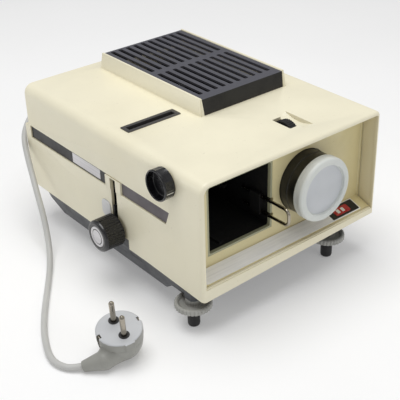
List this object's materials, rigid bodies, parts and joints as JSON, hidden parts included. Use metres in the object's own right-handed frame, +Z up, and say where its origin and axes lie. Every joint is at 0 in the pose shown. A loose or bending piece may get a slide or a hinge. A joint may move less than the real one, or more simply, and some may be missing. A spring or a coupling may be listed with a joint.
{
  "type": "slide projector",
  "caption": "Table slide projector: boxy hood with vent grille, straight-tray channel, focusing lens with cap, push-pull changer, switch, screw feet and mains lead.",
  "frame": {"origin": "bottom centre of the projector's own box, on the table, measured without the mains lead and plug", "axes": "+X to the right seen from the lens side, +Y towards the rear, away from the lens, +Z up"},
  "size_m": [0.3308, 0.3584, 0.167],
  "materials": {
    "housing_cream": "semi-gloss moulded plastic, slightly yellowed",
    "panel_cream": "semi-gloss moulded plastic",
    "grille_grey": "satin",
    "black_plastic": "gloss",
    "black_matte": "matte",
    "base_grey": "satin",
    "label_black": "printed foil, part silver",
    "label_dark": "printed foil",
    "brushed_plate": "brushed",
    "emblem": "enamel",
    "button_grey": "satin",
    "knob_black": "gloss",
    "steel": "bright",
    "nickel": "nickel plated",
    "foot_wheel": "satin",
    "foot_black": "matte",
    "lens_barrel": "gloss",
    "lens_ring": "black anodised",
    "optical_glass": "polished, coated",
    "cap_milky": "translucent",
    "focus_grey": "satin",
    "sheet_metal": "plain",
    "gate_metal": "blackened",
    "ceramic": "ceramic",
    "mirror": "polished",
    "motor_metal": "plain",
    "fan_plastic": "matte",
    "core_iron": "laminated iron",
    "coil": "enamelled copper wire, taped",
    "cord_grey": "satin PVC",
    "plug_grey": "satin PVC",
    "pin_metal": "nickel plated"
  },
  "bodies": {
    "chassis": {"upper_housing": "housing_cream", "side_label": "label_black", "range_label": "label_dark", "front_panel": "panel_cream", "name_plate": "brushed_plate", "name_plate_emblem": "emblem", "tray_port_frame": "button_grey", "tray_tunnel": "black_matte", "slide_slot_bezel": "black_plastic", "rear_cover": "housing_cream", "rear_screws": "steel", "base_tub": "base_grey", "rear_feet": "foot_black", "lens_sleeve": "gate_metal", "focus_bearings": "button_grey", "switch_body": "black_matte", "bail_bracket": "black_matte", "film_gate": "gate_metal", "gate_pressure_plate": "gate_metal", "lamp_house": "sheet_metal", "condenser_lenses": "optical_glass", "condenser_holder": "sheet_metal", "heat_glass": "optical_glass", "lamp": "optical_glass", "lamp_socket": "ceramic", "reflector": "mirror", "fan_motor": "motor_metal", "transformer_core": "core_iron", "transformer_coil": "coil", "mains_cord": "cord_grey", "cord_gland": "black_matte", "plug_body": "plug_grey", "plug_pins": "pin_metal", "plug_earth_clips": "pin_metal", "plug_boot": "plug_grey"},
    "changer": {"changer_knob": "knob_black", "changer_knob_disc": "brushed_plate", "changer_rod": "steel", "pusher_blade": "sheet_metal"},
    "switch": {"switch_knob": "knob_black", "switch_stem": "steel", "switch_screw": "steel"},
    "lens": {"lens_barrel": "lens_barrel", "lens_front_element": "optical_glass", "lens_middle_element": "optical_glass", "lens_rear_element": "optical_glass", "lens_retaining_ring": "lens_ring"},
    "focus": {"focus_wheel": "focus_grey", "focus_pinion": "button_grey", "focus_shaft": "steel"},
    "cap": {"lens_cap": "cap_milky"},
    "bail": {"tray_release_bail": "nickel"},
    "button": {"side_button": "button_grey"},
    "left_wheel": {"foot_wheel_left": "foot_wheel"},
    "left_post": {"foot_post_left": "foot_black"},
    "right_wheel": {"foot_wheel_right": "foot_wheel"},
    "right_post": {"foot_post_right": "foot_black"},
    "grille": {"vent_grille": "grille_grey"},
    "fan": {"fan_impeller": "fan_plastic"},
    "tray_gear": {"tray_drive_gear": "button_grey"}
  },
  "joints": [
    {"name": "changer_pull", "type": "slide", "parent": "chassis", "child": "changer", "axis": [-1, 0, 0], "range_m": [0, 0.088]},
    {"name": "switch_turn", "type": "hinge", "parent": "chassis", "child": "switch", "pos_m": [-0.09425, -0.09125, 0.137], "axis": [-1, 0, 0], "range_deg": [0, 90]},
    {"name": "lens_slide", "type": "slide", "parent": "chassis", "child": "lens", "axis": [0, -1, 0], "range_m": [-0.003, 0.012]},
    {"name": "focus_turn", "type": "hinge", "parent": "chassis", "child": "focus", "pos_m": [0.03725, -0.09705, 0.1389], "axis": [-1, 0, 0], "range_deg": [-30, 117]},
    {"name": "cap_pull", "type": "slide", "parent": "lens", "child": "cap", "axis": [0, -1, 0], "range_m": [0, 0.04]},
    {"name": "bail_press", "type": "slide", "parent": "chassis", "child": "bail", "axis": [0, 1, 0], "range_m": [0, 0.006], "stiffness_N_per_m": 300},
    {"name": "button_press", "type": "slide", "parent": "chassis", "child": "button", "axis": [1, 0, 0], "range_m": [0, 0.002], "stiffness_N_per_m": 600},
    {"name": "left_foot_turn", "type": "hinge", "parent": "chassis", "child": "left_wheel", "pos_m": [-0.08765, -0.11425, 0.02], "axis": [0, 0, 1], "range_deg": [-720, 1440]},
    {"name": "left_foot_lift", "type": "slide", "parent": "chassis", "child": "left_post", "axis": [0, 0, -1], "range_m": [-0.0061, 0.0121]},
    {"name": "right_foot_turn", "type": "hinge", "parent": "chassis", "child": "right_wheel", "pos_m": [0.07875, -0.11425, 0.02], "axis": [0, 0, 1], "range_deg": [-720, 1440]},
    {"name": "right_foot_lift", "type": "slide", "parent": "chassis", "child": "right_post", "axis": [0, 0, -1], "range_m": [-0.0061, 0.0121]},
    {"name": "grille_lift", "type": "slide", "parent": "chassis", "child": "grille", "axis": [0, 0, 1], "range_m": [0, 0.06]},
    {"name": "fan_spin", "type": "hinge", "parent": "chassis", "child": "fan", "pos_m": [0.04025, 0.06375, 0.04], "axis": [0, 0, 1], "continuous": true},
    {"name": "tray_gear_spin", "type": "hinge", "parent": "chassis", "child": "tray_gear", "pos_m": [0.00525, -0.04825, 0.082], "axis": [0, 0, 1], "continuous": true}
  ],
  "couplings": [
    {"joint": "focus_turn", "follows": "lens_slide", "rad_per_m": 166.67},
    {"joint": "left_foot_lift", "follows": "left_foot_turn", "m_per_rad": 0.00047746},
    {"joint": "right_foot_lift", "follows": "right_foot_turn", "m_per_rad": 0.00047746}
  ]
}
